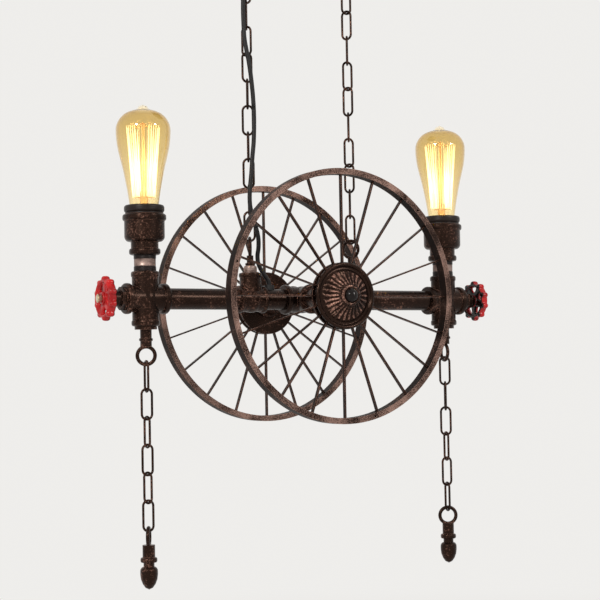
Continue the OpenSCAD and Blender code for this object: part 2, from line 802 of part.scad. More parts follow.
// The screw shells inside the lampholders, each with its foot contact's floor
module lampholder_shells() {
    color("gold") for (side = [left, right])
        from_arms(side * column_x, 0, holder_floor + seat_gap) difference() {
            cylinder(d = shell_d, h = shell_h);
            translate([0, 0, shell_floor_t]) cylinder(d = shell_d - 2 * shell_wall, h = shell_h);
            translate([0, 0, -cut]) cylinder(d = holder_hole_d, h = shell_floor_t + 2 * cut);
        }
}

// Half of the bulb's outline as [height, radius] shares, from the neck to the tip
bulb_outline = [[0, 0.53], [0.14, 0.605], [0.25, 0.68], [0.36, 0.76], [0.46, 0.85],
    [0.56, 0.935], [0.66, 0.985], [0.74, 1], [0.82, 0.975], [0.885, 0.89],
    [0.93, 0.75], [0.962, 0.54], [0.975, 0.3], [0.99, 0.2], [1, 0.06]];
function bulb_points(inset) = [for (p = smooth(bulb_outline, 2))
    [max(p[1] * bulb_d / 2 - inset, 0), p[0] * bulb_h - (p[1] < 0.5 ? inset : 0)]];

module bulb_glass(side) {
    neck_z = cap_z + cap_h - glass_in_cap - bulb_z;
    neck_top = neck_z + glass_in_cap + seat_gap;
    neck_r = bulb_cap_d / 2 - cap_wall - seat_gap;
    color([0.95, 0.75, 0.35, 0.4]) from_arms(side * column_x, 0, bulb_z)
        rotate_extrude() difference() {
            polygon(concat([[0, neck_z], [neck_r, neck_z], [neck_r, neck_top]],
                bulb_points(0), [[0, bulb_h]]));
            polygon(concat([[-cut, neck_z - cut], [neck_r - glass_wall, neck_z - cut],
                [neck_r - glass_wall, neck_top]], bulb_points(glass_wall),
                [[-cut, bulb_h - glass_wall]]));
        }
}
module left_bulb_glass() { bulb_glass(left); }
module right_bulb_glass() { bulb_glass(right); }

module bulb_caps() {
    color("goldenrod") for (side = [left, right])
        from_arms(side * column_x, 0, cap_z) difference() {
            union() {
                translate([0, 0, cap_foot_h]) cylinder(d = bulb_cap_d, h = cap_h - cap_foot_h);
                cylinder(d1 = cap_foot_d, d2 = bulb_cap_d - 3, h = cap_foot_h + seat_gap);
                translate([0, 0, -cap_contact_h])
                    cylinder(d = cap_contact_d, h = cap_contact_h + merge);
            }
            translate([0, 0, cap_foot_h + merge])
                cylinder(d = bulb_cap_d - 2 * cap_wall, h = cap_h);
        }
}

// The glass stem in each bulb and the cage of thin wires on it
module bulb_filaments() {
    tilt = atan((cage_top_r - cage_foot_r) / (cage_top_z - cage_foot_z));
    strand = norm([cage_top_r - cage_foot_r, cage_top_z - cage_foot_z]);
    ledge = 0.6;
    color([1, 0.8, 0.45]) for (side = [left, right])
        from_arms(side * column_x, 0, stem_base_z) {
            cylinder(d1 = bulb_cap_d - 3.6, d2 = glass_flare_d, h = glass_flare_h);
            translate([0, 0, glass_flare_h - merge])
                cylinder(d = glass_stem_d, h = glass_stem_h - glass_flare_h + merge);
            translate([0, 0, glass_stem_h - merge])
                cylinder(d = mast_d, h = cage_top_z - glass_stem_h + merge + cage_disc_t);
            for (disc = [[cage_foot_z, cage_foot_r], [cage_top_z, cage_top_r]])
                translate([0, 0, disc[0]]) cylinder(r = disc[1] + ledge, h = cage_disc_t);
            for (i = [0 : cage_wires - 1]) rotate([0, 0, i * 360 / cage_wires])
                translate([cage_foot_r, 0, cage_foot_z + cage_disc_t / 2]) rotate([0, tilt, 0])
                    cylinder(d = cage_wire_d, h = strand);
        }
}

// The twin flex inside the arms, from the cord's entry to both lampholders
module inner_wiring() {
    color([0.9, 0.9, 0.85]) from_arms() {
        translate([-column_x, 0, 0]) rotate([0, 90, 0])
            cylinder(d = flex_d, h = column_spacing);
        for (side = [left, right]) translate([side * column_x, 0, 0]) {
            sphere(d = flex_d + 0.4);
            cylinder(d = flex_d, h = holder_floor - flex_stop);
        }
    }
}

// Valves
module valve_bonnets() {
    color([0.12, 0.08, 0.07]) for (side = [left, right])
        from_arms(side * (column_x + side_reach))
            rotate(side > 0 ? toward_right : toward_left) difference() {
                union() {
                    translate([0, 0, -engage + seat_gap])
                        cylinder(d = arm_d, h = engage);
                    cylinder(d = bonnet_hex, h = bonnet_hex_h, $fn = 6);
                    cylinder(d = bonnet_neck_d, h = bonnet_hex_h + bonnet_neck_h);
                    translate([0, 0, bonnet_hex_h + bonnet_neck_h])
                        cylinder(d = gland_hex, h = gland_h, $fn = 6);
                }
                translate([0, 0, -engage - cut])
                    cylinder(d = stem_d + 2 * thread_gap, h = engage + hub_start + 2 * cut);
            }
}

module on_valve(side) {
    from_arms(side * (column_x + side_reach))
        rotate(side > 0 ? toward_right : toward_left) children();
}

module valve_stem(side) {
    stem_top = hub_start + wheel_hub_h + valve_nut_h + stem_past_nut;
    color("silver") on_valve(side) translate([0, 0, -stem_in_bonnet])
        cylinder(d = stem_d, h = stem_in_bonnet + stem_top);
}
module left_valve_stem() { valve_stem(left); }
module right_valve_stem() { valve_stem(right); }

module handwheel(side) {
    rim_r = (handwheel_d - lobe_d) / 2;
    plane = handwheel_plane;
    color([0.78, 0.08, 0.09]) on_valve(side) translate([0, 0, hub_start]) difference() {
        union() {
            cylinder(d = wheel_hub_d, h = wheel_hub_h);
            translate([0, 0, plane]) rotate_extrude()
                translate([rim_r - 0.8, 0]) circle(d = handwheel_rim);
            for (i = [0 : handwheel_lobes - 1])
                rotate([0, 0, i * 360 / handwheel_lobes])
                    translate([rim_r, 0, plane]) sphere(d = lobe_d);
            for (i = [0 : handwheel_spokes - 1])
                rotate([0, 0, (i + 0.5) * 360 / handwheel_spokes])
                    translate([wheel_hub_d / 2 - 2 * merge, -handwheel_spoke_w / 2,
                        plane - handwheel_spoke_t / 2])
                        cube([rim_r - wheel_hub_d / 2 + merge, handwheel_spoke_w,
                            handwheel_spoke_t]);
        }
        translate([0, 0, -handwheel_rim])
            cylinder(d = stem_d + 2 * thread_gap, h = wheel_hub_h + 2 * handwheel_rim);
    }
}
module left_handwheel() { handwheel(left); }
module right_handwheel() { handwheel(right); }

module handwheel_nut(side) {
    color("gold") on_valve(side) translate([0, 0, hub_start + wheel_hub_h]) difference() {
        cylinder(d = valve_nut_across, h = valve_nut_h, $fn = 6);
        translate([0, 0, -cut])
            cylinder(d = stem_d + 2 * thread_gap, h = valve_nut_h + 2 * cut);
    }
}
module left_handwheel_nut() { handwheel_nut(left); }
module right_handwheel_nut() { handwheel_nut(right); }

// The eyes under the lamp columns
module lower_eyes() {
    color([0.2, 0.14, 0.12]) for (side = [left, right])
        from_arms(side * column_x, 0, -upright_reach) {
            translate([0, 0, seat_gap])
                cylinder(d = nipple_d, h = engage - 2 * seat_gap);
            translate([0, 0, -drop_plug_h])
                cylinder(d = drop_plug_d, h = drop_plug_h + merge);
            translate([0, 0, -drop_eye_h])
                cylinder(d = drop_stem_d, h = drop_eye_h - drop_plug_h + merge);
            translate([0, 0, -drop_plug_h - drop_stem_h - drop_collar_h])
                bead(drop_collar_d, drop_collar_h);
            translate([0, 0, drop_ring_z + upright_reach])
                rotate([0, 0, side < 0 ? left_drop_ring_turn : right_drop_ring_turn])
                    wire_ring(drop_ring_d, drop_ring_wire);
        }
}

// A finial: a ring, a neck, a collar, a waist and a pointed acorn
module finial(side) {
    neck_top = -drop_ring_r + merge;
    collar_z = -drop_ring_d / 2 - finial_neck_h + 2;
    waist_z = collar_z - finial_collar_h;
    acorn_z = waist_z - finial_waist_h;
    r = acorn_d / 2;
    color([0.12, 0.08, 0.07]) from_arms(side * column_x, 0, finial_ring_z)
        rotate([0, 0, side < 0 ? left_finial_turn : right_finial_turn]) {
            wire_ring(drop_ring_d, drop_ring_wire);
            translate([0, 0, collar_z - merge])
                cylinder(d = finial_neck_d, h = neck_top - collar_z + merge);
            translate([0, 0, waist_z]) bead(finial_collar_d, finial_collar_h);
            translate([0, 0, acorn_z - merge])
                cylinder(d = finial_waist_d, h = finial_waist_h + 2 * merge);
            translate([0, 0, acorn_z]) rotate_extrude()
                polygon(concat([[0, 0], [finial_waist_d / 2, 0]],
                    arc(r - acorn_shoulder, -acorn_shoulder, acorn_shoulder, 75, 0, 4),
                    [[r, -acorn_belly], [0.93 * r, -0.55 * acorn_h], [0.72 * r, -0.76 * acorn_h],
                    [0.42 * r, -0.92 * acorn_h], [0, -acorn_h]]));
        }
}
module left_finial() { finial(left); }
module right_finial() { finial(right); }

// Wheels, drawn round the Z axis and turned toward the front or the back
module on_axle(end) {
    from_arms() rotate(end > 0 ? toward_back : toward_front) children();
}

module rim(end) {
    color([0.42, 0.28, 0.24]) on_axle(end) difference() {
        translate([0, 0, wheel_offset - rim_w / 2])
            tube(wheel_d, wheel_d - 2 * rim_t, rim_w);
        for (turn = [45, 165, 285]) rotate([0, 0, turn])
            translate([(wheel_d - rim_t) / 2, 0, wheel_offset + rim_w / 2 - rim_hole_depth])
                cylinder(d = rim_hole_d, h = rim_hole_depth + cut);
    }
}
module front_rim() { rim(front); }
module back_rim() { rim(back); }

module spokes(end) {
    color([0.24, 0.16, 0.13]) on_axle(end)
        for (i = [0 : spoke_count - 1]) rotate([0, 0, i * 360 / spoke_count])
            translate([spoke_start, -spoke_t / 2, wheel_offset - spoke_w / 2])
                cube([spoke_end - spoke_start, spoke_t, spoke_w]);
}
module front_spokes() { spokes(front); }
module back_spokes() { spokes(back); }

// The hub: a core that turns on the axle and a plate behind the spokes
module hub(end) {
    color([0.1, 0.08, 0.07]) on_axle(end) translate([0, 0, hub_back]) difference() {
        union() {
            cylinder(d = hub_core_d, h = hub_face - hub_back);
            cylinder(d = dome_d, h = plate_t);
        }
        translate([0, 0, -cut]) cylinder(d = hub_bore_d, h = hub_face - hub_back + 2 * cut);
    }
}
module front_hub() { hub(front); }
module back_hub() { hub(back); }

// The fluted dome over the end of the axle: a lip, a groove and a slope that hollows
// toward the ring round the ball, with a raised flute for each share of the turn
module dome(end) {
    r = dome_d / 2;
    hole_r = ball_d / 2 + ball_gap;
    ring_r = hole_r + cup_ring_t;
    groove_r = r - 2 * dome_lip;
    foot_r = groove_r - dome_groove_w;
    slope_l = foot_r - ring_r;
    slope_h = dome_h - dome_foot_z;
    slope = [for (share = [0, 0.25, 0.5, 0.75, 1])
        [foot_r - share * slope_l, dome_foot_z + slope_h * pow(share, 1.7)]];
    hollow_r = flange_d / 2 + merge;
    hollow_h = turning_gap + flange_t + merge;
    color([0.3, 0.2, 0.16]) on_axle(end) translate([0, 0, hub_face]) difference() {
        union() {
            rotate_extrude()
                polygon(concat([[hole_r, 0]], arc(r - dome_lip, dome_lip, dome_lip, -90, 90, 6),
                    [[groove_r, dome_groove_z], [groove_r - 1, dome_groove_z]], slope,
                    [[hole_r, dome_h]]));
            cylinder(r = ring_r, h = dome_h + cup_ring_rise);
            for (i = [0 : flute_count - 1]) rotate([90, 0, i * 360 / flute_count])
                translate([0, 0, -flute_t / 2]) linear_extrude(flute_t)
                    polygon(concat([[hole_r + merge, merge], [foot_r, merge]],
                        [for (p = slope) p + [0, flute_rise]], [[hole_r + merge, dome_h]]));
        }
        translate([0, 0, -cut]) cylinder(r = hole_r, h = dome_h + cup_ring_rise + 2 * cut);
        translate([0, 0, -cut]) cylinder(r = hollow_r, h = hollow_h + cut);
        translate([0, 0, hollow_h])
            cylinder(r1 = hollow_r, r2 = hole_r, h = dome_h - dome_wall - hollow_h);
    }
}
module front_dome() { dome(front); }
module back_dome() { dome(back); }

ceiling_bracket();
canopy();
ceiling_eyes();
eye_nuts();
cord_grip();
terminal_block();
left_top_link();
right_top_link();
left_upper_chain();
right_upper_chain();
left_bottom_link();
right_bottom_link();
power_cord();
centre_cross();
axle_pipes();
axle_end_bolts();
axle_locknuts();
left_tee();
right_tee();
left_nipple();
right_nipple();
lamp_nipples();
left_arm_pipe();
right_arm_pipe();
cord_grommet();
hanger_eyes();
left_end_cross();
right_end_cross();
left_lamp_cup();
right_lamp_cup();
left_lampholder();
right_lampholder();
lampholder_shells();
left_bulb_glass();
right_bulb_glass();
bulb_caps();
bulb_filaments();
inner_wiring();
valve_bonnets();
left_valve_stem();
right_valve_stem();
left_handwheel();
right_handwheel();
left_handwheel_nut();
right_handwheel_nut();
lower_eyes();
left_lower_top_link();
right_lower_top_link();
left_lower_chain();
right_lower_chain();
left_finial();
right_finial();
front_rim();
front_spokes();
front_hub();
front_dome();
back_rim();
back_spokes();
back_hub();
back_dome();
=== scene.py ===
import json
import math

import bpy
import numpy as np
from mathutils import Matrix, Vector


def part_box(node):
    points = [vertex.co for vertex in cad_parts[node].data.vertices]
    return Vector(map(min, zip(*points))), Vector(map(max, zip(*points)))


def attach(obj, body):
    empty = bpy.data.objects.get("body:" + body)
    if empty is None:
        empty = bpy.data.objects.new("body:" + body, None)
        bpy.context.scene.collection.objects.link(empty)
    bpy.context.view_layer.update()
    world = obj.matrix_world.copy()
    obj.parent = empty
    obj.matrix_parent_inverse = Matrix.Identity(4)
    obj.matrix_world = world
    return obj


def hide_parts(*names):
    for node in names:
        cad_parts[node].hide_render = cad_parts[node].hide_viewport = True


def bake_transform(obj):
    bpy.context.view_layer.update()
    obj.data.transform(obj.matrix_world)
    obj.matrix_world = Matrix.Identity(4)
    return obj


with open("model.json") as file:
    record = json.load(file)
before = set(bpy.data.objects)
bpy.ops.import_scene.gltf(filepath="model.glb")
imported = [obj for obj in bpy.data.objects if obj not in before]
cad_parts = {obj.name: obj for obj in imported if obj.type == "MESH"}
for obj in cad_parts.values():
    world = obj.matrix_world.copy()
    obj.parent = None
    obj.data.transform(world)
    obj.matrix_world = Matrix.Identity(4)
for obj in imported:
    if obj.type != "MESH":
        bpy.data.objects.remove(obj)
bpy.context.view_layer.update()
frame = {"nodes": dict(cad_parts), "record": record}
scene = bpy.context.scene
MM = 0.001

# Sizes repeated from the part's source, in millimetres
ARM_Z = -450.1
HANG_X = 71
COLUMN_X = 209
TERMINAL_END = 15
GRIP = (-76, -20)
ENTRY_X = -45.5
CORD_D = 5.4
LINK_W = 15
BULB_Z = 109.1
BULB_D = 64
BULB_H = 117.5
GLASS_WALL = 1
NECK_R = 12.6
NECK_FOOT = -21.8
HUB_FACE = 99.7
NIPPLE_R = 13.2
BORE_R = 9.5
CROSS_TOP = 32
CUP_FOOT = 51
THREAD_IN = 8.8

# Both lamp columns: their side and their place
COLUMNS = (("left", -COLUMN_X), ("right", COLUMN_X))
# How near an outline comes to the line that it turns round
AXIS_R = 0.02


# Camera, fitted to the photograph: turns in degrees, place in metres, lens and sensor in mm
CAMERA_TURNS = (-29.346, 2.522, -1.023)
CAMERA_PLACE = (-0.9627, -1.707, -0.5366)
LENS = 96
SENSOR_W = 36


def make_camera():
    yaw, pitch, roll = (math.radians(turn) for turn in CAMERA_TURNS)
    look = Vector(
        (-math.sin(yaw) * math.cos(pitch), math.cos(yaw) * math.cos(pitch), math.sin(pitch))
    )
    level = Vector((math.cos(yaw), math.sin(yaw), 0))
    upright = level.cross(look)
    right = math.cos(roll) * level + math.sin(roll) * upright
    up = math.cos(roll) * upright - math.sin(roll) * level
    data = bpy.data.cameras.new("camera")
    data.sensor_width = SENSOR_W
    data.lens = LENS
    camera = bpy.data.objects.new("camera", data)
    scene.collection.objects.link(camera)
    turned = Matrix((right, up, -look)).transposed().to_4x4()
    camera.matrix_world = Matrix.Translation(CAMERA_PLACE) @ turned
    scene.camera = camera


# Mesh helpers. Shapes are in millimetres until they become pieces, which are in metres
FIRST_SIDE = (0.31, 0.95, 0.11)  # no path here runs along it


def new_piece(name, verts, faces, finish):
    """A piece with smooth shading, from points in metres."""
    mesh = bpy.data.meshes.new(name)
    mesh.from_pydata([tuple(v) for v in verts], [], faces)
    mesh.validate()
    mesh.materials.append(finish)
    mesh.polygons.foreach_set("use_smooth", [True] * len(mesh.polygons))
    mesh.update()
    piece = bpy.data.objects.new(name, mesh)
    scene.collection.objects.link(piece)
    return piece


def smooth_path(points, steps):
    """A smooth curve through the points, as the part's source draws it."""
    p = [np.array(q, float) for q in points]
    last = len(p) - 1
    made = []
    for i in range(last):
        a, b, c, d = p[max(i - 1, 0)], p[i], p[i + 1], p[min(i + 2, last)]
        for k in range(steps):
            t = k / steps
            square = (2 * a - 5 * b + 4 * c - d) * t**2
            cube = (3 * b - a - 3 * c + d) * t**3
            made.append(0.5 * (2 * b + (c - a) * t + square + cube))
    made.append(p[last])
    return np.array(made)


def tube_rings(path, radius, sides):
    """Rings of points round a path, carried along it without twisting."""
    path = np.asarray(path, float)
    along = np.gradient(path, axis=0)
    along /= np.linalg.norm(along, axis=1)[:, None]
    turns = np.arange(sides) * math.tau / sides
    cosines, sines = np.cos(turns)[:, None], np.sin(turns)[:, None]
    side = np.cross(along[0], FIRST_SIDE)
    rings = []
    for p, t in zip(path, along):
        side = side - t * side.dot(t)
        side /= np.linalg.norm(side)
        rings.append(p + radius * (cosines * side + sines * np.cross(t, side)))
    return np.array(rings)


def skin(rings, closed=False):
    """Faces over a list of rings, with a face over both ends unless it closes on itself."""
    count, sides = len(rings), len(rings[0])
    verts = np.concatenate(rings)
    faces = []
    for i in range(count if closed else count - 1):
        a, b = i * sides, (i + 1) % count * sides
        for k in range(sides):
            n = (k + 1) % sides
            faces.append((a + k, b + k, b + n, a + n))
    if not closed:
        faces.append(tuple(range(sides)))
        faces.append(tuple(reversed(range((count - 1) * sides, count * sides))))
    return verts, faces


def lathe(profile, centre=(0, 0, 0), turns=96, lift=None):
    """A closed outline of (radius, height) points turned round an upright line.

    lift, where it is given, says for an angle how far each of the points is raised."""
    rings = []
    for a in np.arange(turns) * math.tau / turns:
        rise = lift(a) if lift else [0] * len(profile)
        rings.append(
            [
                (centre[0] + r * math.cos(a), centre[1] + r * math.sin(a), centre[2] + z + up)
                for (r, z), up in zip(profile, rise)
            ]
        )
    return skin(np.array(rings), True)


def joined(parts):
    """Several shapes as one, in metres."""
    verts, faces = [], []
    for v, f in parts:
        base = sum(len(x) for x in verts)
        verts.append(np.asarray(v))
        faces += [tuple(base + i for i in g) for g in f]
    return np.concatenate(verts) * MM, faces


# Materials. Colours are linear, and depths and widths of bumps and edges are in metres
BLACK = (0.0035, 0.0022, 0.0018)
BROWN = (0.0125, 0.0052, 0.0034)
COPPER = (0.23, 0.115, 0.082)
PALE_COPPER = (0.3, 0.16, 0.12)
PINK = (0.25, 0.155, 0.125)
WARM = (1.0, 0.6, 0.45)
BAND_PALE = (0.3, 0.215, 0.185)
BAND_DARK = (0.15, 0.1, 0.085)
COLLAR_PALE = (0.28, 0.21, 0.185)
COLLAR_DARK = (0.13, 0.09, 0.075)
# Bulb glass: the paler amber at the foot is painted light from the filament
AMBER_LOW_LIT = (0.97, 0.88, 0.64)
AMBER_HIGH = (0.78, 0.65, 0.36)
AMBER_EDGE = (0.6, 0.42, 0.17)
AMBER_TIP = (0.98, 0.93, 0.8)
# Colour of the faint painted glow in the bulb glass
GLOW = (1.0, 0.66, 0.25)
STEM_PALE = (0.95, 0.72, 0.42)
STEM_DEEP = (0.7, 0.42, 0.18)
GLASS_IOR = 1.45

# Bronze: what copper shows through, how much of it, and the cast skin
GRAIN = 420
FINER = 2.7
RUB_W = 0.0009
RUB_EDGES = 1.3
RUB_GRAINS = 1.2
RUB_PATCHES = 0.75
RUBBED = (0.12, 0.5)
COPPER_METAL = 0.55
GLOSS = 0.2
SKIN_DEPTH = 0.00009
SKIN_ROUND = 0.0006

# Heights in millimetres above the arms: a nipple's bare band, the fades at its ends and those
# at the ends of a hanger eye's collar. The fade to the glass's tip is above the bulb's foot
BAND = (38.5, 46.5)
BAND_FADES = ((38.2, 38.8), (46.4, 47.0))
COLLAR_FADES = ((31.6, 32.2), (40.4, 41))
TIP_FADE = (110, 114)


class Shader:
    """A node material with short calls for its textures."""

    def __init__(self, name):
        self.material = bpy.data.materials.new(name)
        self.material.use_nodes = True
        self.tree = self.material.node_tree
        self.surface = self.tree.nodes["Principled BSDF"]
        self.place = self.node("ShaderNodeTexCoord").outputs["Object"]

    def node(self, kind, inputs=None, **settings):
        made = self.tree.nodes.new(kind)
        for key, value in settings.items():
            setattr(made, key, value)
        for key, value in (inputs or {}).items():
            self.put(made.inputs[key], value)
        return made

    def put(self, socket, value):
        """Links an output to a socket, or sets a constant on it."""
        if isinstance(value, bpy.types.NodeSocket):
            self.tree.links.new(value, socket)
        elif hasattr(value, "__len__") and socket.type == "RGBA":
            socket.default_value = (*value[:3], 1)
        else:
            socket.default_value = value

    def set(self, **values):
        for key, value in values.items():
            self.put(self.surface.inputs[key.replace("_", " ")], value)

    def math(self, operation, a, b=None):
        inputs = {0: a} if b is None else {0: a, 1: b}
        return self.node("ShaderNodeMath", inputs, operation=operation).outputs[0]

    def axis(self, vector, name):
        return self.node("ShaderNodeSeparateXYZ", {0: vector}).outputs[name]

    def noise(self, scale, detail=3, rough=0.55, place=None):
        inputs = {"Scale": scale, "Detail": detail, "Roughness": rough}
        inputs["Vector"] = place or self.place
        return self.node("ShaderNodeTexNoise", inputs).outputs["Fac"]

    def sum(self, *terms):
        """A sum of (weight, value) pairs; a lone number is added as it is."""
        total = sum(t for t in terms if not isinstance(t, tuple))
        for weight, value in (t for t in terms if isinstance(t, tuple)):
            inputs = {0: value, 1: weight, 2: total}
            total = self.node("ShaderNodeMath", inputs, operation="MULTIPLY_ADD").outputs[0]
        return total

    def step(self, value, low, high, out_low=0.0, out_high=1.0):
        """A smooth change from out_low to out_high while the value goes from low to high."""
        inputs = {
            "Value": value,
            "From Min": low,
            "From Max": high,
            "To Min": out_low,
            "To Max": out_high,
        }
        made = self.node("ShaderNodeMapRange", inputs, interpolation_type="SMOOTHSTEP")
        return made.outputs[0]

    def mix(self, factor, a, b):
        made = self.node("ShaderNodeMix", data_type="RGBA")
        for socket, value in zip((made.inputs[0], made.inputs[6], made.inputs[7]), (factor, a, b)):
            self.put(socket, value)
        return made.outputs[2]

    def rounded(self, radius):
        """The surface's normal with its edges rounded."""
        return self.node("ShaderNodeBevel", {"Radius": radius}, samples=4).outputs[0]

    def edges(self, radius):
        """1 on sharp edges and 0 on flat faces."""
        inputs = {0: self.rounded(radius)}
        inputs[1] = self.node("ShaderNodeNewGeometry").outputs["Normal"]
        dot = self.node("ShaderNodeVectorMath", inputs, operation="DOT_PRODUCT")
        return self.sum(1, (-1, dot.outputs["Value"]))

    def normal(self, name):
        """One coordinate of the normal, in the object's own directions."""
        return self.axis(self.node("ShaderNodeTexCoord").outputs["Normal"], name)

    def height(self):
        """How high the point is above the arms, in millimetres."""
        return self.sum(-ARM_Z, (1 / MM, self.axis(self.place, "Z")))

    def bump(self, height, distance, strength=1.0, edge=0.0):
        """Relief of a depth, over edges that are rounded where edge gives a radius."""
        inputs = {"Height": height, "Distance": distance, "Strength": strength}
        if edge:
            inputs["Normal"] = self.rounded(edge)
        self.put(self.surface.inputs["Normal"], self.node("ShaderNodeBump", inputs).outputs[0])


def scaled(colour, by, plus=0.0):
    return tuple(min(1, by * c + plus) for c in colour)


def bronze(s, wear, grain=GRAIN, copper=COPPER, face_wear=0.0, mark_wear_and_highlight=0.0):
    """Black-brown lacquer over a cast skin, with copper rubbed out on edges and grains.

    face_wear rubs what faces along Y. The mesh's own mark adds copper on flute crests that is
    partly wear and partly a painted highlight."""
    patches = s.noise(30, rough=0.6)
    grains = s.noise(grain, detail=4, rough=0.7)
    fine = s.noise(grain * FINER, rough=0.6)
    worn = s.sum(
        wear - 1.0, (RUB_EDGES, s.edges(RUB_W)), (RUB_GRAINS, grains), (RUB_PATCHES, patches)
    )
    if face_wear:
        facing = s.step(s.math("ABSOLUTE", s.normal("Y")), 0.6, 0.95)
        worn = s.sum((1, worn), (face_wear, facing))
    # The mesh's mark: copper on flute crests, partly wear and partly a painted highlight
    if mark_wear_and_highlight:
        mark = s.node("ShaderNodeAttribute", attribute_name="crest").outputs["Fac"]
        worn = s.sum((1, worn), (mark_wear_and_highlight, mark))
    rubbed = s.step(worn, *RUBBED)
    bare = s.mix(s.step(fine, 0.4, 0.68), copper, scaled(copper, 1.5, 0.02))
    lacquer = s.mix(s.step(s.sum((0.6, fine), (0.4, patches)), 0.4, 0.62), BLACK, BROWN)
    return s.mix(rubbed, lacquer, bare), rubbed, grains, fine


def bronze_finish(
    name, wear, grain=GRAIN, rough=0.27, copper=COPPER, face_wear=0.0, mark_wear_and_highlight=0.0, gloss=GLOSS
):
    s = Shader(name)
    colour, rubbed, grains, fine = bronze(s, wear, grain, copper, face_wear, mark_wear_and_highlight)
    s.set(
        Base_Color=colour,
        Metallic=s.step(rubbed, 0, 1, 0.0, COPPER_METAL),
        Roughness=s.sum(rough - 0.08, (0.16, fine), (0.12, rubbed)),
        Specular_IOR_Level=gloss,
        Specular_Tint=WARM,
    )
    s.bump(s.sum((0.7, grains), (0.3, fine)), SKIN_DEPTH, edge=SKIN_ROUND)
    return s.material


def plated(name, colour, rough):
    """Bare or plated metal with fine upright scratches and faint stains."""
    s = Shader(name)
    upright = s.node("ShaderNodeMapping", {"Vector": s.place, "Scale": (1, 1, 7)}).outputs[0]
    marks = s.noise(260, detail=4, rough=0.6, place=upright)
    s.set(
        Base_Color=s.mix(s.step(s.noise(60), 0.35, 0.7), colour, scaled(colour, 0.8)),
        Metallic=1.0,
        Roughness=s.step(marks, 0.25, 0.75, rough - 0.07, rough + 0.12),
    )
    s.bump(marks, 0.00003)
    return s.material


def moulded(name, colour, rough, grain=900, depth=0.00004):
    """Moulded plastic, rubber or porcelain; dark ones have less gloss."""
    s = Shader(name)
    fine = s.noise(grain)
    broad = s.step(s.noise(70, detail=2), 0.3, 0.75, 0, 0.6)
    s.set(
        Base_Color=s.mix(broad, colour, scaled(colour, 1.5, 0.006)),
        Roughness=s.step(fine, 0.3, 0.7, rough - 0.06, rough + 0.08),
        Specular_IOR_Level=0.5 if max(colour) > 0.1 else GLOSS,
    )
    s.bump(fine, depth)
    return s.material


def enamel(name, colour, deep, bare):
    """Glossy red on the outer face and the sides, dark on the side toward the lamp, with dark chips
    where edges are worn.
    """
    s = Shader(name)
    specks = s.noise(700, detail=4, rough=0.65)
    worn = s.step(s.sum(-0.9, (0.6, s.edges(0.0007)), (1.3, specks)), 0.24, 0.36)
    # The way each face points sets its colour: red facing outward, and the dark colour given as
    # bare facing toward the lamp
    outward = s.math("MULTIPLY", s.math("SIGN", s.axis(s.place, "X")), s.normal("X"))
    red_side = s.step(s.sum((1, outward), (0.25, specks)), -0.55, 0.0)
    paint = s.mix(s.step(s.noise(55), 0.3, 0.7), deep, colour)
    s.set(
        Base_Color=s.mix(worn, s.mix(red_side, bare, paint), bare),
        Roughness=s.step(worn, 0, 1, 0.24, 0.5),
        Specular_IOR_Level=0.3,
    )
    s.bump(s.sum((1, s.noise(240)), (0.3, specks)), 0.0002, strength=0.7)
    return s.material


def threaded(name):
    """Dark threads at both ends of a nipple and bare metal between them."""
    s = Shader(name)
    marks = s.noise(260, detail=4, rough=0.6)
    up = s.sum((1, s.height()), (1.2, marks))
    band = s.math("SUBTRACT", *(s.step(up, *fade) for fade in BAND_FADES))
    metal = s.mix(s.step(s.noise(90), 0.35, 0.65), BAND_PALE, BAND_DARK)
    s.set(
        Base_Color=s.mix(band, s.mix(marks, BLACK, BROWN), metal),
        Metallic=s.step(band, 0, 1, 0.0, 0.7),
        Roughness=s.step(marks, 0.25, 0.75, 0.36, 0.52),
        Specular_IOR_Level=GLOSS,
    )
    s.bump(marks, 0.00004)
    return s.material


def eye_finish(name):
    """Dark bronze, with the big collar under each neck bare."""
    s = Shader(name)
    colour, rubbed, grains, fine = bronze(s, 0.1)
    up = s.height()
    collar = s.math("SUBTRACT", *(s.step(up, *fade) for fade in COLLAR_FADES))
    bare = s.mix(s.step(s.noise(110), 0.35, 0.6), COLLAR_DARK, COLLAR_PALE)
    s.set(
        Base_Color=s.mix(collar, colour, bare),
        Metallic=s.sum((0.5, rubbed), (0.35, collar)),
        Roughness=s.sum(0.26, (0.2, fine)),
        Specular_IOR_Level=0.17,
        Specular_Tint=WARM,
    )
    s.bump(s.sum((0.7, grains), (0.3, fine)), 0.0001, edge=0.0005)
    return s.material


def amber_glass(name):
    """Clear amber glass, deeper where it is seen edge on, that lets its lamp's light out. It is
    painted paler toward its foot as if lit by the filament, and it has a faint painted glow.
    """
    s = Shader(name)
    up = s.height()
    # Paler toward the foot as painted light from the filament, deeper amber toward the top
    high = s.step(s.sum((1, up), (6, s.noise(35, detail=2))), BULB_Z, BULB_Z + BULB_H)
    tip_up = s.sum((1, up), (2, s.noise(90, detail=2)))
    tip = s.step(tip_up, *(BULB_Z + end for end in TIP_FADE))
    edge = s.step(s.node("ShaderNodeLayerWeight", {"Blend": 0.5}).outputs["Facing"], 0.3, 0.97)
    side = s.mix(edge, s.mix(high, AMBER_LOW_LIT, AMBER_HIGH), AMBER_EDGE)
    s.set(
        Base_Color=s.mix(tip, side, AMBER_TIP),
        Roughness=0.02,
        IOR=GLASS_IOR,
        Transmission_Weight=1.0,
        # A faint painted glow in the glass itself
        Emission_Color=GLOW,
        Emission_Strength=0.03,
    )
    clear = s.node("ShaderNodeBsdfTransparent", {"Color": (1.0, 0.86, 0.6)}).outputs[0]
    shadow = s.node("ShaderNodeLightPath").outputs["Is Shadow Ray"]
    both = s.node("ShaderNodeMixShader", {0: shadow, 1: s.surface.outputs[0], 2: clear})
    s.put(s.tree.nodes["Material Output"].inputs["Surface"], both.outputs[0])
    return s.material


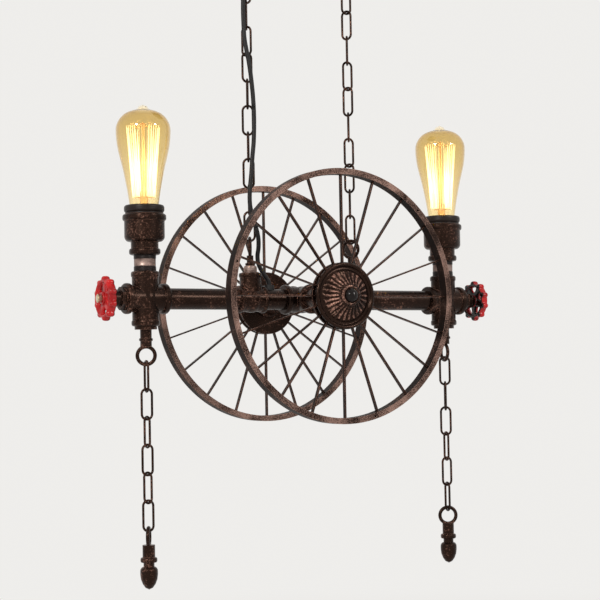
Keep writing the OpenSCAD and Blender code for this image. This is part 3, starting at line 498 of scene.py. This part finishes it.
def glowing(name, hot, warm, strength):
    """A filament at work, uneven along its length."""
    s = Shader(name)
    s.set(
        Base_Color=warm,
        Roughness=0.5,
        Emission_Color=s.mix(s.step(s.noise(120, detail=2), 0.3, 0.7), warm, hot),
        Emission_Strength=strength,
    )
    return s.material


def stem_glass(name):
    """Warm, slightly cloudy glass of the mast that holds the filament, with a faint painted glow.
    """
    s = Shader(name)
    cloud = s.step(s.noise(180), 0.3, 0.7)
    s.set(
        Base_Color=s.mix(cloud, STEM_PALE, STEM_DEEP),
        Roughness=s.step(cloud, 0, 1, 0.06, 0.16),
        IOR=GLASS_IOR,
        Transmission_Weight=0.6,
        # A faint painted glow, as of the filament's light in the glass
        Emission_Color=(1.0, 0.55, 0.2),
        Emission_Strength=0.03,
    )
    return s.material


# Each material slot: the kind of finish and its values
FINISHES = {
    "bracket_steel": (plated, dict(colour=(0.55, 0.56, 0.57), rough=0.38)),
    "canopy_bronze": (bronze_finish, dict(wear=0.0)),
    "eye_bronze": (bronze_finish, dict(wear=0.1)),
    "chain_bronze": (bronze_finish, dict(wear=0.12, grain=600)),
    "pipe_bronze": (bronze_finish, dict(wear=0.09)),
    "bare_nipple": (threaded, {}),
    "hanger_metal": (eye_finish, {}),
    "rim_bronze": (
        bronze_finish,
        dict(wear=0.08, grain=800, rough=0.46, copper=PINK, face_wear=0.22, gloss=0.08),
    ),
    "spoke_bronze": (bronze_finish, dict(wear=0.08, grain=700, rough=0.36, gloss=0.12)),
    # Domes: the copper on the flute crests is partly wear and partly a painted highlight
    "dome_bronze": (
        bronze_finish,
        dict(wear=0.0, grain=520, rough=0.22, copper=PALE_COPPER, mark_wear_and_highlight=0.27),
    ),
    "ball_black": (
        moulded,
        dict(colour=(0.004, 0.0022, 0.0018), rough=0.11, grain=300, depth=0.00002),
    ),
    "nut_zinc": (plated, dict(colour=(0.6, 0.6, 0.62), rough=0.32)),
    "holder_black": (
        moulded,
        dict(colour=(0.01, 0.0055, 0.004), rough=0.36, grain=500, depth=0.00014),
    ),
    "cord_black": (
        moulded,
        dict(colour=(0.006, 0.0055, 0.0055), rough=0.45, grain=1500, depth=0.00003),
    ),
    "bushing_black": (moulded, dict(colour=(0.012, 0.012, 0.012), rough=0.45)),
    "flex_white": (moulded, dict(colour=(0.72, 0.7, 0.66), rough=0.45)),
    "terminal_ivory": (moulded, dict(colour=(0.74, 0.68, 0.52), rough=0.35)),
    "shell_brass": (plated, dict(colour=(0.78, 0.56, 0.26), rough=0.3)),
    "bulb_amber": (amber_glass, {}),
    "filament_glow": (
        glowing,
        dict(hot=(1.0, 0.98, 0.9), warm=(1.0, 0.93, 0.78), strength=0.95),
    ),
    # The dark colour shows on the side toward the lamp and in worn chips
    "handwheel_red": (
        enamel,
        dict(colour=(0.5, 0.008, 0.009), deep=(0.26, 0.003, 0.004), bare=(0.008, 0.003, 0.0025)),
    ),
    "stem_brass": (plated, dict(colour=(0.72, 0.62, 0.45), rough=0.3)),
}
materials = {name: make(name, **values) for name, (make, values) in FINISHES.items()}
STEM_GLASS = stem_glass("stem_glass")

for part in frame["record"]["subparts"]:
    node = frame["nodes"][part["node"]]
    finish = materials[part["material_slot"]]
    if not node.material_slots:
        node.data.materials.append(finish)
    for slot in node.material_slots:
        slot.material = finish


# Power cord: the part's own route, in four stretches
CORD_GAP = 0.4
CORD_STEPS = 6
CORD_SIDES = 14


def lane(turn, up):
    """A point beside the left chain, at an angle round it and a height above the arms."""
    out = (LINK_W + CORD_D) / 2 + CORD_GAP
    a = math.radians(turn)
    return (-HANG_X + out * math.cos(a), out * math.sin(a), ARM_Z + up)


def aside(x, y, up):
    """A point beside the left hanger eye, at a height above the arms."""
    return (x - HANG_X, y, ARM_Z + up)


CORD_ROUTE = [
    (-TERMINAL_END - 0.3, -4, -9), (-20, -4.1, -9), (-26.5, -6.6, -9), (-35, -12.5, -10),
    (-46, -18.5, -12), (-62, -20, -13.5), (-69, -20, -15.3), (-73.8, -20, -20),
    (-75.9, -20, -25), (*GRIP, -31), (*GRIP, -37), (*GRIP, -42), (-76.1, -19.5, -47.5),
    (-76.4, -17.6, -53), (-77, -13.9, -58.2), (-77.6, -10.1, -63.4), (-78, -8, -69),
    lane(-133, 374), lane(-137, 349), lane(-132, 318), lane(-120, 302), lane(-106, 288),
    lane(-92, 269), lane(-78, 244), lane(-72, 218), lane(-78, 191), lane(-90, 172),
    lane(-100, 151), lane(-112, 130), lane(-112, 113), lane(-95, 99), lane(-70, 86),
    lane(-42, 74), lane(-16, 63), lane(4, 53), aside(12, 1.8, 44), aside(15.6, 1.9, 36.5),
    aside(20, 1.3, 29.6), aside(24, 0.4, 23.8), aside(25.4, 0, 18.2),
    (ENTRY_X, 0, ARM_Z + 13.5), (ENTRY_X, 0, ARM_Z + 8), (ENTRY_X, 0, ARM_Z + 2.7),
]
# Each stretch: its name, where it ends, the two bodies it joins and where its bend runs
CORD_STRETCHES = [
    ("power_cord_top", -70, "ceiling", "left_top_link", -46, -66),
    ("power_cord_upper", -215, "left_top_link", "left_chain", -76, -98),
    ("power_cord_lower", -363, "left_chain", "left_bottom_link", -339.5, -355.5),
    ("power_cord_foot", -500, "left_bottom_link", "lamp_frame", -372, -404),
]


def make_cord():
    path = smooth_path(CORD_ROUTE, CORD_STEPS)
    rings = tube_rings(path, CORD_D / 2, CORD_SIDES)
    start = 0
    for name, end_z, upper, lower, from_z, to_z in CORD_STRETCHES:
        below = (i for i in range(start + 1, len(path)) if path[i][2] <= end_z)
        end = next(below, len(path) - 1)
        stretch = skin(rings[start : end + 1])
        piece = new_piece(name, *joined([stretch]), materials["cord_black"])
        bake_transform(piece)
        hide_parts("power_cord")
        start = end


# Bulbs: the glass's outline as shares of its height and of its half width, from the foot up
BULB_OUTLINE = [
    (0, 0.53), (0.14, 0.605), (0.25, 0.68), (0.36, 0.76), (0.46, 0.85), (0.56, 0.935),
    (0.66, 0.985), (0.74, 1), (0.785, 0.985), (0.825, 0.935), (0.866, 0.845), (0.905, 0.7),
    (0.932, 0.51), (0.948, 0.31), (0.966, 0.21), (0.986, 0.15), (1, 0.04),
]
BULB_STEPS = 5
NECK_H = 8


def bulb_side(inset):
    """The glass's outline, moved inward, and its top lowered, by the inset."""
    points = [(NECK_R - inset, NECK_FOOT), (NECK_R - inset, NECK_FOOT + NECK_H)]
    for up, out in smooth_path(BULB_OUTLINE, BULB_STEPS):
        drop = inset if out < 0.5 and up > 0.5 else 0
        points.append((max(out * BULB_D / 2 - inset, AXIS_R), up * BULB_H - drop))
    return points


def make_glasses():
    outline = bulb_side(0) + list(reversed(bulb_side(GLASS_WALL)))
    for side, x in COLUMNS:
        shape = lathe(outline, (x, 0, ARM_Z + BULB_Z))
        piece = new_piece(side + "_bulb", *joined([shape]), materials["bulb_amber"])
        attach(piece, "lamp_frame")
        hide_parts(side + "_bulb_glass")


# The wire cage in a bulb: its rings as (radius, height), and its wires
CAGE_FOOT = (13, 9)
CAGE_MIDDLE = (16, 45)
CAGE_TOP = (20, 92)
STRANDS_A_SIDE = 20
CURTAIN_GAP = 0.36
WIRE_R = 0.42
WIRE_SIDES = 6
WIRE_BENDS = (0.0, 0.04, 0.5, 0.96)
THIN_WIRE_R = 0.17
THIN_WIRE_SIDES = 5
THIN_WIRE_TURNS = (-9, 1, 8)
VIEW_TURN = -29


def cage_point(base, turn, ring):
    r, z = ring
    return base + (r * math.cos(turn), r * math.sin(turn), z)


def make_filaments():
    """A wire that runs up and down in two curtains beside the mast, and thin wires between."""
    for side, x in COLUMNS:
        base = np.array((x, 0, ARM_Z + BULB_Z))
        parts = []
        for middle in (VIEW_TURN, VIEW_TURN + 180):
            spots = []
            for i in range(STRANDS_A_SIDE + 1):
                share = 2 * i / STRANDS_A_SIDE - 1
                spread = math.copysign(math.acos(1 - (1 - CURTAIN_GAP) * abs(share)), share)
                ring = CAGE_TOP if i % 2 else CAGE_FOOT
                spots.append(cage_point(base, math.radians(middle) + spread, ring))
            path = [a + (b - a) * t for a, b in zip(spots, spots[1:]) for t in WIRE_BENDS]
            parts.append(skin(tube_rings([*path, spots[-1]], WIRE_R, WIRE_SIDES)))
        for middle in (VIEW_TURN + 90, VIEW_TURN - 90):
            for turn in THIN_WIRE_TURNS:
                a = math.radians(middle + turn)
                path = [cage_point(base, a, ring) for ring in (CAGE_FOOT, CAGE_MIDDLE, CAGE_TOP)]
                parts.append(skin(tube_rings(path, THIN_WIRE_R, THIN_WIRE_SIDES)))
        piece = new_piece(side + "_filament", *joined(parts), materials["filament_glow"])
        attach(piece, "lamp_frame")
        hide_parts("bulb_filaments")


# The glass mast in a bulb as (radius, height) points, and the hooks that hold the wire
STEM_OUTLINE = [
    (AXIS_R, -20), (11.4, -20), (9, -14), (5.6, -8), (4.8, 2), (4.6, 14), (3.2, 18), (2.4, 20),
    (1.8, 90), (3.2, 92), (3.2, 95), (AXIS_R, 97),
]
HOOKS = 10
HOOK_R = 0.3
HOOK_SIDES = 5
HOOK_RISE = 1.2


def make_stems():
    for side, x in COLUMNS:
        base = np.array((x, 0, ARM_Z + BULB_Z))
        parts = [lathe(STEM_OUTLINE, base, turns=32)]
        for r, z in (CAGE_FOOT, CAGE_TOP):
            for i in range(HOOKS):
                a = (i + 0.5) * math.tau / HOOKS
                out = np.array((math.cos(a), math.sin(a), 0))
                reaches = ((2, 0), (r - 1, 0), (r, HOOK_RISE))
                hook = [base + out * reach + (0, 0, z + up) for reach, up in reaches]
                parts.append(skin(tube_rings(hook, HOOK_R, HOOK_SIDES)))
        piece = new_piece(side + "_stem", *joined(parts), STEM_GLASS)
        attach(piece, "lamp_frame")
        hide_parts("bulb_filaments")


# Hub domes: a cup round the ball, a hollow slope with flutes, a groove and a rounded lip
DOME_R = 39.5
DOME_H = 15
LIP_R = 2.8
LIP_STEPS = 8
FOOT_R = 30.3
FOOT_Z = 3.2
CUP_R = 12.3
BALL_HOLE_R = 8.8
BACK_R = 17.2
BACK_H = 3.8
FLUTES = 26
FLUTE_RISE = 2.3
FLUTE_STEPS = 12
FLUTE_FULLNESS = 0.8
SLOPE_STEPS = 20
SLOPE_HOLLOW = 1.7
# How the flutes' height swells from a first share, and how fast it falls off at their foot
SWELL_FIRST = 0.15
SWELL_IN = 5
SWELL_OUT = 6
CUP = [(BALL_HOLE_R, 11), (BALL_HOLE_R, 16.9), (9.4, 17.5), (11.2, 17.5), (12, 17), (CUP_R, 16)]
GROOVE = [(FOOT_R + 0.6, 2.3), (FOOT_R + 2.6, 2.2), (FOOT_R + 3.6, 2.2), (34.6, 4.2)]
# How worn the cup is, and how steeply and from where a flute's crest gets copper that is partly
# wear and partly a painted highlight
CUP_WEAR = 0.9
CREST_GAIN = 2.2
CREST_START = 1.2


def dome_outline():
    """The outline's points and the flutes' share of height at each of them."""
    slope, swell = [], []
    for i in range(SLOPE_STEPS + 1):
        share = i / SLOPE_STEPS
        z = FOOT_Z + (DOME_H - FOOT_Z) * (1 - share) ** SLOPE_HOLLOW
        slope.append((CUP_R + share * (FOOT_R - CUP_R), z))
        fall = math.sin(math.pi * min(1, SWELL_OUT * (1 - share)) / 2)
        swell.append(min(1, SWELL_IN * share + SWELL_FIRST) * fall)
    lip = []
    for i in range(LIP_STEPS + 1):
        a = math.pi * (1 - i / LIP_STEPS) - math.pi / 2
        lip.append((DOME_R - LIP_R + LIP_R * math.cos(a), LIP_R + LIP_R * math.sin(a)))
    outer = GROOVE + lip + [(BACK_R, 0), (BACK_R, BACK_H)]
    return CUP + slope + outer, [0] * len(CUP) + swell + [0] * len(outer)


def crest(angle):
    """1 along the middle of a flute and 0 between two of them."""
    return abs(math.cos(FLUTES * angle / 2)) ** FLUTE_FULLNESS


def make_domes():
    outline, swell = dome_outline()
    turns = FLUTES * FLUTE_STEPS

    def raised(angle):
        return [FLUTE_RISE * share * crest(angle) for share in swell]

    verts, faces = lathe(outline, (0, 0, HUB_FACE), turns, raised)
    marks = []
    for i in range(turns):
        # Marks for the crests' copper, partly wear and partly a painted highlight
        worn = max(0, CREST_GAIN * crest(i * math.tau / turns) - CREST_START)
        marks += [CUP_WEAR] * len(CUP) + [worn * share for share in swell[len(CUP) :]]
    for end, way in (("front", -1), ("back", 1)):
        turned = np.stack([verts[:, 0], way * verts[:, 2], ARM_Z - way * verts[:, 1]], 1)
        piece = new_piece(end + "_hub_dome", turned * MM, faces, materials["dome_bronze"])
        crests = piece.data.attributes.new("crest", "FLOAT", "POINT")
        crests.data.foreach_set("value", marks)
        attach(piece, end + "_wheel")
        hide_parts(end + "_dome")


# Handwheels: a deep scalloped rim, a web with holes and a hub, run together as one casting
WHEEL_R = 25.6
WHEEL_DEPTH = 10.5
RIM_IN = 17.6
LOBES = 10
LOBE_INSET = 3.4
SPOKES = 5
SPOKE_W = 11
WEB_T = 5
WEB_AT = 4.2
HUB_R = 7.6
HUB_H = 10
HUB_EDGE = 1
STEM_HOLE_R = 3.6
VOXEL = 0.55
SOFTEN_TIMES = 3
SOFTEN_BY = 0.5
# Outlines as (radius, height) points: the rim's, drawn SECTION_DEPTH deep, a lobe's and the hub's
RIM_SECTION = [
    (RIM_IN, 1), (RIM_IN, -1), (19.4, -4.6), (20.8, -5.2), (22, -4.2), (22.6, 0), (22, 4.2),
    (20.8, 5.2), (19.4, 4.6),
]
SECTION_DEPTH = 10.4
LOBE = [(AXIS_R, -4.9), (2.4, -4.5), (3.5, -3), (3.8, 0), (3.5, 3), (2.4, 4.5), (AXIS_R, 4.9)]
HUB = [
    (STEM_HOLE_R, 0), (HUB_R, 0), (HUB_R, HUB_H - HUB_EDGE), (HUB_R - HUB_EDGE, HUB_H),
    (STEM_HOLE_R, HUB_H),
]
# A spoke: its share of the width at each radius, and its corners in half widths and thicknesses
SPOKE_SHARES = [(HUB_R - 2, 1.25), (10, 1.0), (14, 0.86), (17, 1.0), (RIM_IN + 1.5, 1.6)]
SPOKE_CORNERS = [
    (-1, -0.5), (-0.6, -1), (0.6, -1), (1, -0.5), (1, 0.5), (0.6, 1), (-0.6, 1), (-1, 0.5),
]


def cast(parts):
    """The parts run together as one soft-edged casting, in metres."""
    verts, faces = joined(parts)
    mesh = bpy.data.meshes.new("casting")
    mesh.from_pydata([tuple(v) for v in verts], [], faces)
    rough = bpy.data.objects.new("casting", mesh)
    scene.collection.objects.link(rough)
    melt = rough.modifiers.new("melt", "REMESH")
    melt.mode = "VOXEL"
    melt.voxel_size = VOXEL * MM
    soften = rough.modifiers.new("soften", "SMOOTH")
    soften.iterations = SOFTEN_TIMES
    soften.factor = SOFTEN_BY
    melted = rough.evaluated_get(bpy.context.evaluated_depsgraph_get())
    done = bpy.data.meshes.new_from_object(melted)
    bpy.data.objects.remove(rough)
    points = np.empty(3 * len(done.vertices), np.float32)
    done.vertices.foreach_get("co", points)
    return points.reshape(-1, 3), [tuple(f.vertices) for f in done.polygons]


def make_handwheel(side, way):
    """A handwheel in its CAD node's place; way is -1 on the left and 1 on the right."""
    rim = [(r, WEB_AT + z * WHEEL_DEPTH / SECTION_DEPTH) for r, z in RIM_SECTION]
    parts = [lathe(rim, turns=80), lathe(HUB, turns=48)]
    reach = WHEEL_R - LOBE_INSET
    for i in range(LOBES):
        a = math.tau * i / LOBES
        centre = (reach * math.cos(a), reach * math.sin(a), WEB_AT)
        parts.append(lathe(LOBE, centre, turns=16))
    for i in range(SPOKES):
        a = math.tau * (i + 0.5) / SPOKES
        across = np.array((-math.sin(a), math.cos(a), 0))
        rings = []
        for r, share in SPOKE_SHARES:
            middle = np.array((r * math.cos(a), r * math.sin(a), WEB_AT))
            half = SPOKE_W * share / 2
            rings.append(
                [middle + across * half * u + (0, 0, WEB_T / 2 * v) for u, v in SPOKE_CORNERS]
            )
        parts.append(skin(np.array(rings)))
    points, faces = cast(parts)
    foot = min(abs(corner[0]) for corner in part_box(side + "_handwheel"))
    placed = np.stack([way * (foot + points[:, 2]), points[:, 1], way * points[:, 0]], 1)
    placed[:, 2] += ARM_Z * MM
    piece = new_piece(side + "_cast_handwheel", placed, faces, materials["handwheel_red"])
    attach(piece, side + "_valve")
    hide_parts(side + "_handwheel")


# Lamp nipples: bare metal between two threads, whose ridges are flat on top
THREAD_PITCH = 1.4
THREAD_DEPTH = 0.55
RIDGE = (0.1, 0.6, 0.85)


def make_nipples():
    root_r = NIPPLE_R - THREAD_DEPTH
    foot, top = CROSS_TOP - THREAD_IN, CUP_FOOT + THREAD_IN
    outline = [(BORE_R, foot)]
    for start, end in ((foot, BAND[0]), (BAND[1], top)):
        turns = int((end - start) / THREAD_PITCH)
        for i in range(turns):
            z = start + i * THREAD_PITCH
            outline += [(r, z + up) for r, up in zip((root_r, NIPPLE_R, NIPPLE_R), RIDGE)]
        outline.append((root_r, start + turns * THREAD_PITCH))
    outline.append((BORE_R, top))
    for side, x in COLUMNS:
        shape = lathe(list(reversed(outline)), (x, 0, ARM_Z), turns=64)
        piece = new_piece(side + "_lamp_nipple", *joined([shape]), materials["bare_nipple"])
        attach(piece, "lamp_frame")
        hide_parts("lamp_nipples")


# Floor, world and lamps, in metres and watts
PALE = (0.86, 0.85, 0.83)
FLOOR_Z = -1.15
FLOOR_HALF = 20
FLOOR_FADE = (0.9, 2.6)
AMBIENT = (0.95, 0.97, 1.0)
AMBIENT_STRENGTH = 0.45
SEEN_RAYS = ("Is Camera Ray", "Is Glossy Ray", "Is Transmission Ray")
AIM = (0, 0, -0.42)
BULB_WATTS = 0.15
BULB_LIGHT = (1.0, 0.66, 0.34)
BULB_LIGHT_R = 0.012
BULB_LIGHT_UP = 50


def make_floor():
    """A pale floor that turns into the plain background away from the light's shadow."""
    s = Shader("floor")
    colour = s.mix(s.noise(6, detail=2), PALE, scaled(PALE, 0.98))
    s.set(Base_Color=colour, Roughness=0.9)
    glow = s.node("ShaderNodeEmission", {"Color": PALE, "Strength": 1.0}).outputs[0]
    away = s.node("ShaderNodeVectorMath", {0: s.place}, operation="LENGTH").outputs["Value"]
    rays = s.node("ShaderNodeLightPath").outputs
    seen = s.sum(*((1, rays[name]) for name in SEEN_RAYS))
    inputs = {0: s.step(away, *FLOOR_FADE), 1: seen}
    share = s.node("ShaderNodeMath", inputs, operation="MULTIPLY", use_clamp=True).outputs[0]
    both = s.node("ShaderNodeMixShader", {0: share, 1: s.surface.outputs[0], 2: glow})
    s.put(s.tree.nodes["Material Output"].inputs["Surface"], both.outputs[0])
    corners = [(u * FLOOR_HALF, v * FLOOR_HALF, 0) for u, v in ((-1, -1), (1, -1), (1, 1), (-1, 1))]
    floor = new_piece("floor", corners, [(0, 1, 2, 3)], s.material)
    floor.location.z = FLOOR_Z


def make_world():
    """A pale world for the camera, metal and glass, and a dimmer one that lights the rest."""
    world = bpy.data.worlds.new("studio")
    world.use_nodes = True
    tree = world.node_tree
    shown = tree.nodes["Background"]
    shown.inputs["Color"].default_value = (*PALE, 1)
    shown.inputs["Strength"].default_value = 1.0
    ambient = tree.nodes.new("ShaderNodeBackground")
    ambient.inputs["Color"].default_value = (*AMBIENT, 1)
    ambient.inputs["Strength"].default_value = AMBIENT_STRENGTH
    rays = tree.nodes.new("ShaderNodeLightPath")
    total = rays.outputs[SEEN_RAYS[0]]
    for name in SEEN_RAYS[1:]:
        add = tree.nodes.new("ShaderNodeMath")
        add.operation = "ADD"
        add.use_clamp = True
        tree.links.new(total, add.inputs[0])
        tree.links.new(rays.outputs[name], add.inputs[1])
        total = add.outputs[0]
    both = tree.nodes.new("ShaderNodeMixShader")
    tree.links.new(total, both.inputs[0])
    tree.links.new(ambient.outputs[0], both.inputs[1])
    tree.links.new(shown.outputs[0], both.inputs[2])
    tree.links.new(both.outputs[0], tree.nodes["World Output"].inputs["Surface"])
    scene.world = world


def new_lamp(name, kind, place, watts, colour):
    """A lamp that lights the object but isn't seen through the glass."""
    data = bpy.data.lights.new(name, kind)
    data.energy = watts
    data.color = colour
    lamp = bpy.data.objects.new(name, data)
    scene.collection.objects.link(lamp)
    lamp.location = place
    lamp.visible_transmission = False
    return lamp


def make_softbox(name, place, size, watts, colour):
    lamp = new_lamp(name, "AREA", place, watts, colour)
    lamp.data.size = size
    lamp.rotation_euler = (Vector(AIM) - Vector(place)).to_track_quat("-Z", "Y").to_euler()
    return lamp


def make_lights():
    make_softbox("key", (-2.3, -1.6, 0.75), 0.6, 56, (1.0, 0.96, 0.92))
    make_softbox("fill", (1.15, -2.3, 0.75), 0.5, 28, (1.0, 0.97, 0.95))
    rim = make_softbox("rim", (0.6, 2.2, 0.6), 1.0, 14, (1.0, 0.97, 0.94))
    rim.visible_glossy = False
    for side, x in COLUMNS:
        place = (x * MM, 0, (ARM_Z + BULB_Z + BULB_LIGHT_UP) * MM)
        lamp = new_lamp(side + "_bulb_light", "POINT", place, BULB_WATTS, BULB_LIGHT)
        lamp.data.shadow_soft_size = BULB_LIGHT_R
        lamp.visible_glossy = False
        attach(lamp, "lamp_frame")


make_camera()
make_cord()
make_glasses()
make_filaments()
make_stems()
make_domes()
make_nipples()
make_handwheel("left", -1)
make_handwheel("right", 1)
make_floor()
make_world()
make_lights()
scene.view_settings.view_transform = "Standard"
